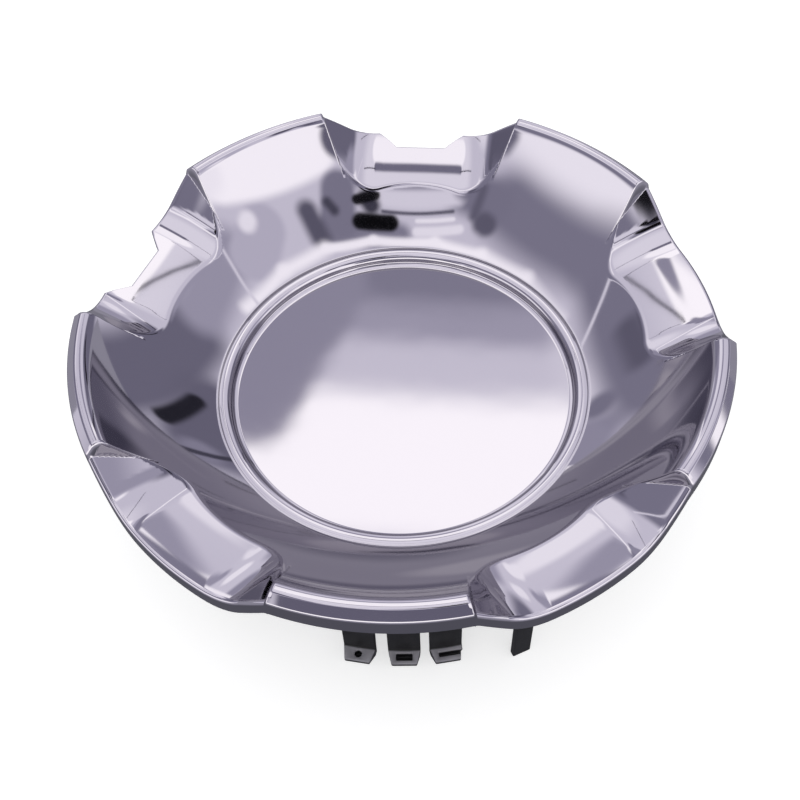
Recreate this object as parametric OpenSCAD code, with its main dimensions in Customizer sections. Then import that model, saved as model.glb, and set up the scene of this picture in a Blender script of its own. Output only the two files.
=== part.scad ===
// Wheel centre cap: a round five-lobed cover, bright on its face, that hides the
// hub and the wheel nuts, with a black ring of snap clips fixed behind it.
// The part stands on its clip tips, face up. Z is the axis of the wheel.
// Heights are measured from the clip tips, and the origin is on the axis there.

/* [Face] */
// Radius of the cover to the outer edge of its lobes
face_r = 95; // [88:0.5:105]
// Height of the lobes' outer edge above the clip tips
rim_h = 62; // [58:0.5:70]
// Wall of the moulded cover
wall_t = 2.8; // [2:0.1:3.2]
// Depth of the skirt that follows the outer edge
skirt_h = 5.5; // [4.5:0.1:8]
// Radius of the rounded outer lip
lip_r = 1.2; // [0.6:0.1:1.8]

/* [Bowl] */
// Radius of the flat dish in the middle
dish_r = 52; // [46:0.5:54]
// Depth of the dish below the lobes' outer edge
dish_depth = 33.7; // [31:0.1:36]
// Distance of the bead's centre line outside the dish's edge
bead_out = 3.8; // [3.2:0.1:4.4]
// Section radius of the bead around the dish
bead_r = 2.9; // [2.2:0.1:3.2]
// Height of the bead's top above the dish
bead_h = 4; // [3:0.1:4.6]

/* [Lobes] */
// Distance of the crest's centre line inside the outer edge
band_w = 3.6; // [3:0.1:4.5]
// Height of the crest above the lobes' outer edge
crest_h = 4.3; // [3.5:0.1:5]
// Section radius of the crest
crest_round = 1.8; // [1:0.1:2.4]
// Outward fall of the steep band outside the crest, in degrees
band_fall = 61; // [56:0.5:64]
// Number of lobes, and of the recesses between them
lobes = 5; // [5:1:5]

/* [Recesses] */
// Depth of a recess at its outer edge below the lobes' outer edge
recess_depth = 10.5; // [8:0.1:12]
// Half of a recess's flat width
recess_half_w = 19.8; // [16:0.1:21]
// Slope of a recess's side walls, in degrees
recess_side = 41.5; // [36:0.5:46]
// Fillet between a recess's floor and its side walls
recess_fillet = 18; // [8:0.5:20]
// Angle from the middle of a recess to the steep end face of a lobe, at the height of the edge
end_angle = 20.4; // [18.5:0.1:22]
// Draft of that end face, in degrees from upright
end_draft = 10; // [6:0.5:20]
// Radius of the floor's rise towards the outer edge
floor_r = 98; // [85:1:120]
// Slope of the floor at the outer edge, in degrees
floor_rise = 9.4; // [7:0.1:12]

/* [Tool notches] */
// Depth of a notch into the outer edge
notch_depth = 7; // [5:0.5:8]
// Half of a notch's width at its inner end
notch_half_w = 8.3; // [6:0.1:10]
// Half of a notch's width at the outer edge
notch_mouth = 15.7; // [13:0.1:16.5]

/* [Clip ring] */
// Distance of the clips' shanks inside the cover's outer edge
clip_in = 18.1; // [17:0.1:20]
// Thickness of a clip's shank and of the ring's upright wall
shank_t = 1.9; // [1.6:0.1:3]
// Thickness of both flanges
flange_t = 2.5; // [2:0.1:3]
// Width of the outer flange, which seats on the wheel
seat_w = 7.1; // [6.5:0.1:9]
// Clearance between the ring's top and the underside of the recesses
ring_gap = 0.4; // [0.2:0.1:1.5]
// Clearance between the inner flange and the back of the bowl, measured upright
bowl_gap = 2; // [1:0.1:3]

/* [Clips] */
// Angles of the barbed clips from the middle of a lobe
clip_angles = [-5.5, 4.2, 13.2];
// Angle of the plain guide leg from the middle of a lobe
guide_angle = 28.4; // [24:0.1:32]
// Width of a barbed clip
clip_w = 9.3; // [8:0.1:10]
// Width of a guide leg
guide_w = 5.6; // [4:0.1:7]
// Thickness of a guide leg
guide_t = 2; // [1.4:0.1:2.6]
// Distance of a guide leg's outer face inside the edge of the outer flange
guide_inset = 0.7; // [0.3:0.1:1.5]
// Reach of a barb beyond its shank
barb_out = 4.3; // [3:0.1:5.5]
// Narrowing of a barb on each side towards its outer edge
barb_taper = 1; // [0:0.1:1.4]
// Height of a barb's ledge above the clip tips
ledge_h = 5; // [4:0.1:8]
// Upright face of a barb under its ledge
barb_face = 1.8; // [1:0.1:2.5]
// Width of the core pocket in a barb's ledge
core_w = 4.8; // [3:0.1:6]
// Depth of the core pocket
core_depth = 2.4; // [1:0.1:3]
// Thickening of a clip towards its root
root_t = 1.2; // [0.5:0.1:2]

/* [Fixing] */
// Distance of the fixing bosses inside the clips' shanks
boss_in = 8; // [7:0.1:8.5]
// Land of the inner flange inside the middle of a boss
boss_land = 5.5; // [4:0.1:7.5]
// Diameter of a fixing boss behind the cover
boss_d = 7; // [6:0.1:8]
// Diameter of the pin that passes through the inner flange
pin_d = 4; // [3:0.1:4.4]
// Clearance around the pin
pin_gap = 0.2; // [0.1:0.05:0.4]
// Diameter of the head that the pin is melted into
head_d = 7; // [6:0.1:8]
// Thickness of that head
head_t = 1.4; // [1:0.1:2]

/* [Ribs] */
// Thickness of the ribs behind a lobe
rib_t = 1.6; // [1:0.1:2]
// Angles of the ribs from the middle of a lobe
rib_angles = [-10, 0, 10];

/* [Hidden] */
$fn = 96;

chrome_colour = [0.78, 0.77, 0.81];
black_colour = [0.08, 0.08, 0.09];

pitch = 360 / lobes;
first_lobe = -90;               // one lobe points along -Y
notched = [2, 3];               // the recesses at +Y and next to it have notches
past = 1;                       // cutters run this far past what they cut

dish_z = rim_h - dish_depth;
bead_c = [dish_r + bead_out, dish_z + bead_h - bead_r];

round_steps = 6;                // flats that round the lip
crest_steps = 12;               // flats that round the crest
crest_z = rim_h + crest_h - crest_round;
crest_c = [face_r - band_w, crest_z];

// The bowl is a sphere through the dish's edge, and the crest's section circle just
// bites into it. Its centre's height above the dish solves a quadratic for the two.
crest_bite = 0.05;
past_bowl = crest_round - crest_bite;
rise = crest_z - dish_z;
spread = pow(crest_c[0], 2) - pow(dish_r, 2) + pow(rise, 2) - pow(past_bowl, 2);
steep = pow(rise, 2) - pow(past_bowl, 2);
under_root = pow(spread * rise, 2) - steep * (pow(spread, 2) - pow(2 * past_bowl * dish_r, 2));
bowl_up = (spread * rise - sqrt(under_root)) / (2 * steep);
bowl_z = dish_z + bowl_up;
bowl_r = sqrt(pow(dish_r, 2) + pow(bowl_up, 2));
crest_end = 180 - atan((bowl_z - crest_z) / crest_c[0]);
function band_z(r) = crest_z + crest_round / cos(band_fall) - (r - crest_c[0]) * tan(band_fall);
// The lip's section circle touches the band and the outer edge.
lip_c = [face_r - lip_r, band_z(face_r - lip_r) - lip_r / cos(band_fall)];

// The floor of a recess is a torus about a line across the recess, below its outer edge.
floor_axis = [face_r + floor_r * sin(floor_rise), rim_h - recess_depth - floor_r * cos(floor_rise)];
floor_lead = 2;                 // degrees of the torus past upright, beyond the outer edge
floor_sweep = 36;               // degrees of the torus, from there to inside the bowl
fillet_steps = 5;               // flats that round the corner of a recess
recess_h = 34;                  // height of the cutter above the floor

skirt_room = 1.5;               // the skirt is trimmed from this far inside its wall
clip_r = face_r - clip_in;
shank_in = clip_r - shank_t;
seat_r = clip_r + seat_w;
boss_pcd_r = clip_r - boss_in;
inner_flange_r = boss_pcd_r - boss_land;
// A clip's flat outer face keeps its corners this far inside the ring's outer radius.
clip_inset = 0.05;
clip_face = sqrt(pow(clip_r, 2) - pow(clip_w / 2, 2)) - clip_inset;
barb_r = clip_face + barb_out;
inner_flange_top = under_bowl(inner_flange_r) - bowl_gap;
inner_flange_h = inner_flange_top - flange_t;
root_z = inner_flange_h + flange_t / 2;
seat_top = min(under_recess(sqrt(pow(shank_in, 2) - pow(recess_half_w, 2))), under_bowl(shank_in)) - ring_gap;

// Angle of the middle of lobe k
function lobe_at(k) = first_lobe + k * pitch;
// Angle of the middle of recess k
function recess_at(k) = lobe_at(k) + pitch / 2;
// Height of the underside of a recess at distance x along its middle
function under_recess(x) = floor_axis[1] + sqrt(pow(floor_r - wall_t, 2) - pow(floor_axis[0] - x, 2));
// Height of the back of the bowl's wall at radius r
function under_bowl(r) = bowl_z - sqrt(pow(bowl_r + wall_t, 2) - pow(r, 2));
// Point on a circle about c, in the section's plane
function on(c, r, a) = [c[0] + r * cos(a), c[1] + r * sin(a)];
// Radius of the middle of the bowl's wall at height z
function mid_bowl(z) = sqrt(pow(bowl_r + wall_t / 2, 2) - pow(bowl_z - z, 2));

// Air above the dish and inside the bowl, grown by g
module bowl_air(g) {
    intersection() {
        translate([0, bowl_z]) circle(r = bowl_r + g);
        translate([0, dish_z - g]) square([face_r, 2 * bowl_r]);
    }
}

// Half section of everything below the cover's face
module front_section() {
    top = 90 - band_fall;
    lip = [for (i = [0 : round_steps]) on(lip_c, lip_r, i * top / round_steps)];
    crest = [for (i = [0 : crest_steps]) on(crest_c, crest_round, top + i * (crest_end - top) / crest_steps)];
    difference() {
        polygon(concat(
            [[0, 0], [face_r, 0]], lip, crest,
            [on(crest_c, 2 * crest_round, crest_end), [dish_r, crest_z], [0, crest_z]]
        ));
        bowl_air(0);
    }
    translate(bead_c) circle(r = bead_r);
}

// Half section of everything below the cover's back
module back_section() {
    drop = wall_t / cos(band_fall);
    edge = face_r - wall_t;
    difference() {
        polygon([
            [0, -past], [edge, -past], [edge, band_z(edge) - drop],
            [dish_r, band_z(dish_r) - drop], [0, band_z(dish_r) - drop]
        ]);
        bowl_air(wall_t);
    }
}

// Section of a recess across its middle: flat floor, filleted corners, sloping sides
module recess_section(g) {
    half_w = recess_half_w + g * tan(recess_side / 2);
    fillet = recess_fillet + g;
    reach = fillet * tan(recess_side / 2);
    side = recess_h / tan(recess_side);
    corner = [for (i = [0 : fillet_steps]) on([fillet, half_w - reach], fillet, 180 - i * recess_side / fillet_steps)];
    translate([floor_r - g, 0])
        polygon(concat(
            corner, [[recess_h, half_w + side], [recess_h, -half_w - side]],
            [for (i = [fillet_steps : -1 : 0]) [corner[i][0], -corner[i][1]]]
        ));
}

// Everything on the recess's side of the end face of the lobe beside it, grown by g
module beside_lobe(g) {
    reach = 2 * face_r;
    rotate(end_angle)
        translate([0, 0, rim_h])
            rotate([-end_draft, 0, 0])
                translate([0, g - reach, -face_r]) cube(reach);
}

// Air of one recess that lies along +X, grown by g
module recess_air(g) {
    intersection() {
        translate([floor_axis[0], 0, floor_axis[1]])
            rotate([90, 0, 0])
                rotate([0, 0, 90 - floor_lead])
                    rotate_extrude(angle = floor_sweep, $fn = 180) recess_section(g);
        beside_lobe(g);
        mirror([0, 1, 0]) beside_lobe(g);
    }
}

// One solid of revolution with its recesses cut out, as the face or the back sees it
module lobed(g) {
    difference() {
        rotate_extrude($fn = 180) {
            if (g == 0) front_section();
            else back_section();
        }
        for (k = [0 : lobes - 1]) rotate(recess_at(k)) recess_air(g);
    }
}

// Trapezoid notch in the outer edge of a recess that lies along +X
module notch() {
    inner = face_r - notch_depth;
    flare = (notch_mouth - notch_half_w) / notch_depth;
    far = 2 * notch_depth;
    linear_extrude(rim_h)
        polygon([
            [inner, -notch_half_w], [inner + far, -notch_half_w - far * flare],
            [inner + far, notch_half_w + far * flare], [inner, notch_half_w]
        ]);
}

// Everything around the edge that lies below the skirt
module below_skirt() {
    inner = face_r - wall_t - skirt_room;
    difference() {
        translate([0, 0, -past]) difference() {
            cylinder(r = face_r + past, h = rim_h - skirt_h + past);
            cylinder(r = inner, h = rim_h);
        }
        for (k = [0 : lobes - 1]) rotate(recess_at(k)) translate([0, 0, -skirt_h]) recess_air(0);
    }
}

// Rib behind a lobe that lies along +X, between the bowl's wall and the skirt
module lobe_rib() {
    low = rim_h - skirt_h;
    edge = face_r - wall_t / 2;
    top = band_z(edge) - wall_t / 2;
    translate([0, rib_t / 2, 0])
        rotate([90, 0, 0])
            linear_extrude(rib_t)
                polygon([[mid_bowl(low), low], [edge, low], [edge, top], [mid_bowl(top), top]]);
}

// Bosses that carry the clip ring, and the pins with melted heads that hold it
module fixings() {
    difference() {
        for (k = [0 : lobes - 1])
            rotate(lobe_at(k))
                translate([boss_pcd_r, 0, inner_flange_top])
                    cylinder(d = boss_d, h = rim_h - inner_flange_top);
        translate([0, 0, bowl_z]) sphere(r = bowl_r + wall_t / 2);
    }
    for (k = [0 : lobes - 1])
        rotate(lobe_at(k)) translate([boss_pcd_r, 0, inner_flange_h]) {
            cylinder(d = pin_d, h = flange_t + past);
            translate([0, 0, -head_t]) cylinder(d = head_d, h = head_t);
        }
}

// The bright moulded cover
module face_cover() {
    color(chrome_colour) {
        difference() {
            lobed(0);
            lobed(wall_t);
            below_skirt();
            for (k = notched) rotate(recess_at(k)) notch();
        }
        for (k = [0 : lobes - 1], a = rib_angles) rotate(lobe_at(k) + a) lobe_rib();
        fixings();
    }
}

// Two flanges on an upright wall, as one turned section
module ring_body() {
    rotate_extrude($fn = 180)
        polygon([
            [inner_flange_r, inner_flange_h], [clip_r, inner_flange_h], [clip_r, seat_top - flange_t],
            [seat_r, seat_top - flange_t], [seat_r, seat_top], [shank_in, seat_top],
            [shank_in, inner_flange_top], [inner_flange_r, inner_flange_top]
        ]);
}

// Core pocket of a clip: a round hole, a wide pocket or a slot open at one side
module core(style) {
    at = barb_r - barb_out / 2;
    deep = core_depth + past;
    translate([at, 0, ledge_h - core_depth]) {
        if (style == 0) cylinder(d = barb_out / 2, h = deep, $fn = 32);
        if (style == 1) translate([-barb_out / 4, -core_w / 2, 0]) cube([barb_out / 2, core_w, deep]);
        if (style == 2) translate([-barb_out / 6, -core_w / 2, 0]) cube([barb_out / 3, clip_w, deep]);
    }
}

// Barbed clip along +X: tapered shank, ledge that snaps behind the wheel, sloping nose
module clip(style) {
    difference() {
        translate([0, clip_w / 2, 0])
            rotate([90, 0, 0])
                linear_extrude(clip_w)
                    polygon([
                        [shank_in, 0], [clip_face, 0], [barb_r, ledge_h - barb_face],
                        [barb_r, ledge_h], [clip_face, ledge_h], [clip_face, root_z],
                        [shank_in - root_t, root_z], [shank_in - root_t, inner_flange_h], [shank_in, ledge_h]
                    ]);
        core(style);
        for (side = [0, 1]) mirror([0, side, 0]) beside_barb();
    }
}

// Air beside a barb that lies along +X
module beside_barb() {
    far = 2 * barb_out;
    translate([0, 0, -past])
        linear_extrude(root_z)
            polygon([
                [clip_face, clip_w / 2], [clip_face + far, clip_w / 2 - 2 * barb_taper],
                [clip_face + far, clip_w], [clip_face, clip_w]
            ]);
}

// Plain guide leg along +X, under the outer flange
module guide() {
    translate([seat_r - guide_inset - guide_t, -guide_w / 2, 0])
        cube([guide_t, guide_w, seat_top - flange_t / 2]);
}

// The black ring of snap clips
module clip_ring() {
    color(black_colour)
        difference() {
            union() {
                ring_body();
                for (k = [0 : lobes - 1]) rotate(lobe_at(k)) {
                    for (i = [0 : len(clip_angles) - 1]) rotate(clip_angles[i]) clip(i);
                    rotate(guide_angle) guide();
                }
            }
            for (k = [0 : lobes - 1])
                rotate(lobe_at(k))
                    translate([boss_pcd_r, 0, inner_flange_h - past])
                        cylinder(d = pin_d + 2 * pin_gap, h = flange_t + 2 * past);
        }
}

face_cover();
clip_ring();
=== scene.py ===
"""Wheel centre cap: the looks of its bright five-lobed cover and of the black clip ring behind it."""

import math

import bmesh
import bpy
import numpy as np
from bpy.props import FloatProperty, FloatVectorProperty, PointerProperty
from mathutils import Matrix, Vector


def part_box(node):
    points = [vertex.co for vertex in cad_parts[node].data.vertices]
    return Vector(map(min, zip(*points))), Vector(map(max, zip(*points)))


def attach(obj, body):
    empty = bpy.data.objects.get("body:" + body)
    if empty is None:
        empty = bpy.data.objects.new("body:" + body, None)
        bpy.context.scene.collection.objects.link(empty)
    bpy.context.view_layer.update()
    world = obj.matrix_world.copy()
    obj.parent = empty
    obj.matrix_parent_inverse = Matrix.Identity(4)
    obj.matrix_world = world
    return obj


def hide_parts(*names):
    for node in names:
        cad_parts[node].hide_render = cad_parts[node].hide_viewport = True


bl_info = {
    "name": "Wheel Centre Cap",
    "version": (1, 0, 0),
    "blender": (4, 5, 0),
    "location": "View3D > Sidebar > Centre Cap",
    "description": "Builds a bright five-lobed wheel centre cap and its black ring of snap clips",
    "category": "Object",
}

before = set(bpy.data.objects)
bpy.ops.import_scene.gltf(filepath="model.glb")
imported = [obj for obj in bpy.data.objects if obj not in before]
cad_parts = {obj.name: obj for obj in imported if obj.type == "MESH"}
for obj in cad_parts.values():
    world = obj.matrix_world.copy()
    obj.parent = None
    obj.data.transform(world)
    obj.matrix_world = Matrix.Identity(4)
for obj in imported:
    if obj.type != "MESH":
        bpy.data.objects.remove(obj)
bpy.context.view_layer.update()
RING_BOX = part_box("clip_ring")

MM = 0.001
LOBES = 5
PITCH = 360 / LOBES
FIRST_LOBE = -90
# Recesses that have a tool notch, counted from the one beside the first lobe
NOTCHED = (2, 3)
# Angles of the barbed clips, the guide leg and the ribs from the middle of a lobe, in degrees
CLIPS = {"hole": -5.5, "pocket": 4.2, "slot": 13.2}
GUIDE_LEAN = 28.4
RIBS = {"left": -10, "middle": 0, "right": 10}


# Sizes and colours that a user may change

def length(name, description, mm):
    """A size, given in millimetres and kept in metres"""
    return FloatProperty(name=name, description=description, default=mm * MM, unit="LENGTH", precision=5)


def angle(name, description, degrees):
    """An angle, given in degrees and kept in radians"""
    return FloatProperty(name=name, description=description, default=math.radians(degrees), subtype="ANGLE")


def share(name, description, value):
    """A number from 0 to 1"""
    return FloatProperty(name=name, description=description, default=value, min=0, max=1, subtype="FACTOR")


def colour(name, description, rgb):
    """A colour in linear red, green and blue"""
    return FloatVectorProperty(name=name, description=description, default=rgb, size=3, min=0, max=1,
                               subtype="COLOR")


class CoverSizes(bpy.types.PropertyGroup):
    """Sizes of the bright cover"""
    face_r: length("Face radius", "Radius of the cover to the outer edge of its lobes", 95)
    rim_h: length("Rim height", "Height of the lobes' outer edge above the clip tips", 62)
    wall_t: length("Wall", "Wall of the moulded cover", 2.8)
    skirt_h: length("Skirt depth", "Depth of the skirt that follows the outer edge", 5.5)
    lip_r: length("Lip radius", "Radius of the rounded outer lip", 1.2)
    dish_r: length("Dish radius", "Radius of the flat dish in the middle", 52)
    dish_depth: length("Dish depth", "Depth of the dish below the lobes' outer edge", 33.7)
    bead_out: length("Bead distance", "Distance of the bead's centre line outside the dish's edge", 3.8)
    bead_r: length("Bead radius", "Section radius of the bead around the dish", 2.9)
    bead_h: length("Bead height", "Height of the bead's top above the dish", 4)
    bowl_r: length("Bowl radius", "Radius of the sphere that the bowl is part of", 104.83)
    band_w: length("Band width", "Distance of the crest's rounding inside the outer edge", 3.5)
    crest_h: length("Crest height", "Height of the crest above the lobes' outer edge", 2.9)
    crest_round: length("Crest radius", "Section radius of the crest", 1.8)
    band_fall: angle("Band fall", "Outward fall of the steep band outside the crest", 42)
    recess_depth: length("Recess depth", "Depth of a recess below the lobes' outer edge", 10.5)
    recess_half_w: length("Recess half width", "Half of a recess's flat width", 19.8)
    recess_side: angle("Recess side", "Slope of a recess's side walls", 41.5)
    recess_fillet: length("Recess fillet", "Fillet between a recess's floor and its side walls", 18)
    end_angle: angle("Lobe end", "Angle from the middle of a recess to a lobe's steep end face", 20.4)
    end_draft: angle("End draft", "Draft of that end face", 10)
    floor_r: length("Floor radius", "Radius of the floor's rise towards the outer edge", 98)
    floor_rise: angle("Floor rise", "Slope of the floor at the outer edge", 9.4)
    notch_depth: length("Notch depth", "Depth of a notch into the outer edge", 7)
    notch_half_w: length("Notch half width", "Half of a notch's width at its inner end", 8.3)
    notch_mouth: length("Notch mouth", "Half of a notch's width at the outer edge", 15.7)
    ridge_soft: length("Ridge softness", "Height over which a ridge is rounded", 0.7)
    end_soft: length("End softness", "Height over which the foot of an end face is rounded", 0.5)
    crest_soft: length("Crest softness", "Height over which the crest is rounded towards the bowl", 2.4)
    shoulder_soft: length("Shoulder softness", "Height over which a lobe's end is rounded at its top", 3)


class FixingSizes(bpy.types.PropertyGroup):
    """Sizes of the ribs, bosses and pins behind the cover"""
    rib_t: length("Rib", "Thickness of the ribs behind a lobe", 1.6)
    boss_pcd_r: length("Boss circle", "Radius of the circle of fixing bosses", 68.9)
    boss_d: length("Boss", "Diameter of a fixing boss behind the cover", 7)
    pin_d: length("Pin", "Diameter of the pin that passes through the inner flange", 4)
    head_d: length("Head", "Diameter of the head that the pin is melted into", 7)
    head_t: length("Head thickness", "Thickness of that head", 1.4)


class ClipSizes(bpy.types.PropertyGroup):
    """Sizes of the black clip ring"""
    clip_r: length("Shank radius", "Outer radius of the clips' shanks", 76.9)
    shank_t: length("Shank", "Thickness of a clip's shank and of the ring's upright wall", 1.9)
    flange_t: length("Flanges", "Thickness of both flanges", 2.5)
    inner_flange_r: length("Inner flange", "Inner radius of the inner flange", 63.4)
    inner_flange_top: length("Inner flange top", "Height of the inner flange's top above the tips", 30.35)
    seat_w: length("Seat width", "Width of the outer flange, which seats on the wheel", 7.1)
    clip_w: length("Clip width", "Width of a barbed clip", 9.3)
    guide_w: length("Guide width", "Width of a guide leg", 5.6)
    guide_t: length("Guide thickness", "Thickness of a guide leg", 2)
    guide_inset: length("Guide inset", "Distance of a guide leg inside the edge of the outer flange", 0.7)
    barb_out: length("Barb reach", "Reach of a barb beyond its shank", 4.3)
    barb_taper: length("Barb taper", "Narrowing of a barb on each side towards its outer edge", 1)
    ledge_h: length("Ledge height", "Height of a barb's ledge above the clip tips", 5)
    barb_face: length("Barb face", "Upright face of a barb under its ledge", 1.8)
    core_w: length("Core width", "Width of the core pocket in a barb's ledge", 4.8)
    core_depth: length("Core depth", "Depth of the core pocket", 2.4)
    root_t: length("Root", "Thickening of a clip towards its root", 1.2)
    edge_r: length("Edge radius", "Radius of the moulded edges", 0.35)


class Finish(bpy.types.PropertyGroup):
    """Colours and gloss of the two materials"""
    chrome: colour("Chrome", "Colour of the plating", (0.57, 0.55, 0.62))
    chrome_rough: share("Chrome roughness", "Roughness of the plated face", 0.035)
    back_rough: share("Back roughness", "Roughness of the plating behind", 0.3)
    ripple: length("Ripple", "Height of the faint ripple of the plated face", 0.03)
    black: colour("Black", "Colour of the clip ring", (0.012, 0.012, 0.014))
    # The top faces of the clips' ledges are painted paler: a painted sheen of the light from above, with
    # some scuffing
    scuff_and_sheen: colour("Rubbed", "Colour of the rubbed ledges of the clips", (0.33, 0.32, 0.36))
    black_rough: share("Black roughness", "Roughness of the black moulding", 0.42)


class StageSizes(bpy.types.PropertyGroup):
    """Camera, floor and light"""
    elevation: angle("Elevation", "Height of the camera above the horizon", 53.7)
    turn: angle("Turn", "Turn of the camera around the cap", 6.9)
    roll: angle("Roll", "Roll of the camera about its own axis", 3)
    distance: length("Distance", "Distance of the camera from the middle of the rim", 311.4)
    aim_x: length("Aim across", "Shift of the camera to its right", -1.07)
    aim_y: length("Aim up", "Shift of the camera upwards in its own view", -23.5)
    lens: FloatProperty(name="Lens", description="Focal length in mm on a 36 mm sensor", default=48.65)
    floor_w: length("Floor", "Width of the floor", 6000)
    floor_colour: colour("Floor colour", "Colour of the floor", (0.62, 0.62, 0.63))


GROUPS = {"cap_cover": CoverSizes, "cap_fixings": FixingSizes, "cap_clips": ClipSizes,
          "cap_finish": Finish, "cap_stage": StageSizes}


def in_mm(group):
    """A property group's lengths in millimetres and its other values as they are, by name"""
    values = {}
    for key in group.__annotations__:
        prop = group.bl_rna.properties[key]
        value = getattr(group, key)
        values[key] = value / MM if prop.unit == "LENGTH" else value
    return values


# Shader maths

class Sock:
    """A shader socket whose operators add Math nodes to its tree"""

    def __init__(self, shader, socket):
        self.shader = shader
        self.socket = socket

    def __add__(self, other):
        return self.shader.maths("ADD", self, other)

    def __sub__(self, other):
        return self.shader.maths("SUBTRACT", self, other)

    def __mul__(self, other):
        return self.shader.maths("MULTIPLY", self, other)

    def __rsub__(self, other):
        return self.shader.maths("SUBTRACT", other, self)

    def __abs__(self):
        return self.shader.maths("ABSOLUTE", self)

    __radd__ = __add__
    __rmul__ = __mul__


class Shader:
    """A node tree that is filled by short calls"""

    def __init__(self, owner):
        owner.use_nodes = True
        self.tree = owner.node_tree
        self.tree.nodes.clear()

    def add(self, kind, settings, values):
        """Adds a node with its settings, fills its inputs by name or place, and returns its outputs"""
        node = self.tree.nodes.new(kind)
        for key, value in settings.items():
            setattr(node, key, value)
        for slot, value in values.items():
            if isinstance(value, Sock):
                self.tree.links.new(value.socket, node.inputs[slot])
            else:
                node.inputs[slot].default_value = value
        return [Sock(self, out) for out in node.outputs]

    def node(self, kind, settings=None, **values):
        """A node's outputs by name"""
        return {out.socket.name: out for out in self.add(kind, settings or {}, values)}

    def join(self, kind, *values):
        """The first output of a node whose inputs are filled in their order"""
        return self.add(kind, {}, dict(enumerate(values)))[0]

    def maths(self, operation, *values):
        """A Math node's result"""
        return self.add("ShaderNodeMath", {"operation": operation}, dict(enumerate(values)))[0]

    def vector(self, operation, *values, **named):
        """A Vector Math node's result"""
        values = {**dict(enumerate(values)), **named}
        outputs = self.add("ShaderNodeVectorMath", {"operation": operation}, values)
        return outputs[1 if operation in ("LENGTH", "DOT_PRODUCT") else 0]

    def blend(self, factor, first, second):
        """A colour between two colours"""
        return self.add("ShaderNodeMix", {"data_type": "RGBA"}, {0: factor, 6: first, 7: second})[2]

    def step(self, value, low, high):
        """0 below low and 1 above high, with a smooth rise between them"""
        return self.node("ShaderNodeMapRange", {"interpolation_type": "SMOOTHSTEP", "clamp": False},
                         **{"Value": value, "From Min": low, "From Max": high})["Result"]

    def noise(self, at, scale, detail, rough=0.5):
        return self.node("ShaderNodeTexNoise", Vector=at, Scale=scale, Detail=detail, Roughness=rough)["Fac"]


def opaque(rgb):
    return (rgb[0], rgb[1], rgb[2], 1.0)


def scaled(rgb, factor):
    """A colour made darker or lighter by a factor"""
    return opaque([value * factor for value in rgb])


def material(name, build):
    """A new material whose nodes build(shader) lays"""
    made = bpy.data.materials.new(name)
    build(Shader(made))
    return made


# Scales of the noise in the finishes
MOTTLE, RIPPLE, GRAIN, PATCHES = 260, 55, 1400, 170
# How much mottle and patches change the roughness
MOTTLE_ROUGH, PATCH_ROUGH = 0.02, 0.16
# The back's plating is darker: its share of the front's colour, and how far it goes towards that
BACK_TONE, BACK_PART = 0.55, 0.7
# Paler patches on the black: their noise from and to, their share and their tone
PATCH_FROM, PATCH_TO, PATCH_PART, PATCH_TONE = 0.35, 0.7, 0.5, 1.7
# Strength of the paler top faces of the ledges, a painted sheen with some scuffing: its least, and what the
# patches add
SCUFF_SHEEN_BASE, SCUFF_SHEEN_PATCHES = 0.55, 0.6
# Fades of that painted sheen at a shank, past a barb, and above and below a ledge from and to, in metres
SHANK_FADE, BARB_FADE = 0.0006, 0.0001
SCUFF_SHEEN_NEAR, SCUFF_SHEEN_FAR = 0.0002, 0.0009


def bright_chrome(finish):
    """Mirror plating with a faint ripple, duller on the back"""
    def build(s):
        at = s.node("ShaderNodeTexCoord")["Object"]
        inside = s.node("ShaderNodeAttribute", {"attribute_name": "inside"})["Fac"]
        mottle = s.noise(at, MOTTLE, 3)
        ripple = s.noise(at, RIPPLE, 1)
        rough = finish.chrome_rough + mottle * MOTTLE_ROUGH
        rough += inside * (finish.back_rough - finish.chrome_rough)
        base = s.blend(inside * BACK_PART, opaque(finish.chrome), scaled(finish.chrome, BACK_TONE))
        bump = s.node("ShaderNodeBump", Strength=1.0, Distance=finish.ripple, Height=ripple)["Normal"]
        shader = s.node("ShaderNodeBsdfPrincipled", Metallic=1.0, Normal=bump, Roughness=rough,
                        **{"Base Color": base})
        s.node("ShaderNodeOutputMaterial", Surface=shader["BSDF"])
    return material("bright_chrome", build)


def black_moulding(finish, ledge_h, shank_r, barb_r):
    """Satin black plastic with a fine grain; the clips' ledges are painted paler, a painted sheen with some
    scuffing
    """
    def build(s):
        at = s.node("ShaderNodeTexCoord")["Object"]
        xyz = s.node("ShaderNodeSeparateXYZ", Vector=at)
        radius = s.maths("SQRT", xyz["X"] * xyz["X"] + xyz["Y"] * xyz["Y"])
        grain = s.noise(at, GRAIN, 4)
        patches = s.noise(at, PATCHES, 3, 0.6)
        # Painted sheen with some scuffing: the top faces of the ledges are made paler
        on_ledge = 1 - s.step(abs(xyz["Z"] - ledge_h), SCUFF_SHEEN_NEAR, SCUFF_SHEEN_FAR)
        past_barb = s.step(radius, barb_r, barb_r + BARB_FADE)
        on_barb = s.step(radius, shank_r, shank_r + SHANK_FADE) * (1 - past_barb)
        scuff_and_sheen = on_ledge * on_barb * (SCUFF_SHEEN_BASE + patches * SCUFF_SHEEN_PATCHES)
        paler = s.step(patches, PATCH_FROM, PATCH_TO) * PATCH_PART
        tone = s.blend(paler, opaque(finish.black), scaled(finish.black, PATCH_TONE))
        base = s.blend(scuff_and_sheen, tone, opaque(finish.scuff_and_sheen))
        bump = s.node("ShaderNodeBump", Strength=0.25, Distance=0.0002, Height=grain)["Normal"]
        shader = s.node("ShaderNodeBsdfPrincipled", Normal=bump,
                        Roughness=finish.black_rough + (patches - 0.5) * PATCH_ROUGH, **{"Base Color": base})
        s.node("ShaderNodeOutputMaterial", Surface=shader["BSDF"])
    return material("black_moulding", build)


# The cover's form, in millimetres

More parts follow.
